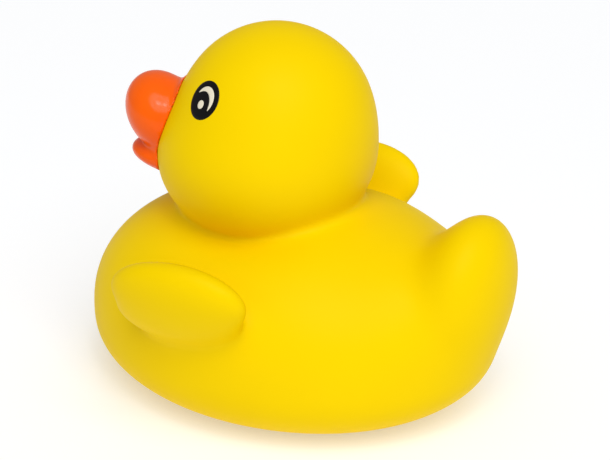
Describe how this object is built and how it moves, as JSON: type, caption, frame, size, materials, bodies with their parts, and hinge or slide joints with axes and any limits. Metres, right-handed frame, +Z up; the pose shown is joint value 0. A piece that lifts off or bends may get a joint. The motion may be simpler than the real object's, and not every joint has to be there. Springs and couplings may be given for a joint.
{
  "type": "floating chlorine dispenser",
  "caption": "Floating pool chlorine dispenser shaped as a bath duck, with a tablet basket, quarter-turn cap and flow dial in its flat base.",
  "frame": {"origin": "on the resting surface, under the middle of the duck's length and width", "axes": "+Z up, the duck faces -Y, +X is the duck's left side"},
  "size_m": [0.2464, 0.2692, 0.2226],
  "materials": {
    "yellow_vinyl": "satin, soft vinyl",
    "orange_plastic": "gloss",
    "white_plastic": "moulded, fine texture",
    "blue_plastic": "moulded, fine texture",
    "pale_blue_plastic": "moulded, fine texture",
    "hose_rubber": "smooth",
    "gasket_rubber": "matt",
    "stainless": "brushed",
    "coated_iron": "epoxy coated"
  },
  "bodies": {
    "duck": {"duck_shell": "yellow_vinyl", "beak": "orange_plastic", "beak_lock_ring": "white_plastic", "vent_hose": "hose_rubber", "hose_clips": "stainless", "well_housing": "white_plastic", "housing_gasket": "gasket_rubber", "clamp_ring": "white_plastic", "clamp_screws": "stainless", "ballast_weights": "coated_iron"},
    "basket": {"tablet_basket": "white_plastic", "pivot_screw": "stainless", "pivot_nut": "stainless"},
    "cap": {"twist_cap": "blue_plastic"},
    "dial": {"flow_dial": "pale_blue_plastic", "wave_washer": "stainless"}
  },
  "joints": [
    {"name": "basket_drop", "type": "slide", "parent": "duck", "child": "basket", "axis": [0, 0, -1], "range_m": [0, 0.008]},
    {"name": "cap_turn", "type": "hinge", "parent": "basket", "child": "cap", "pos_m": [0, -0.0068, 0.0077], "axis": [0, 0, -1], "range_deg": [0, 90]},
    {"name": "dial_turn", "type": "hinge", "parent": "cap", "child": "dial", "pos_m": [0, -0.0068, 0.0048], "axis": [0, 0, 1], "range_deg": [0, 45]}
  ],
  "couplings": [
    {"joint": "basket_drop", "follows": "cap_turn", "m_per_rad": 0.005092}
  ]
}
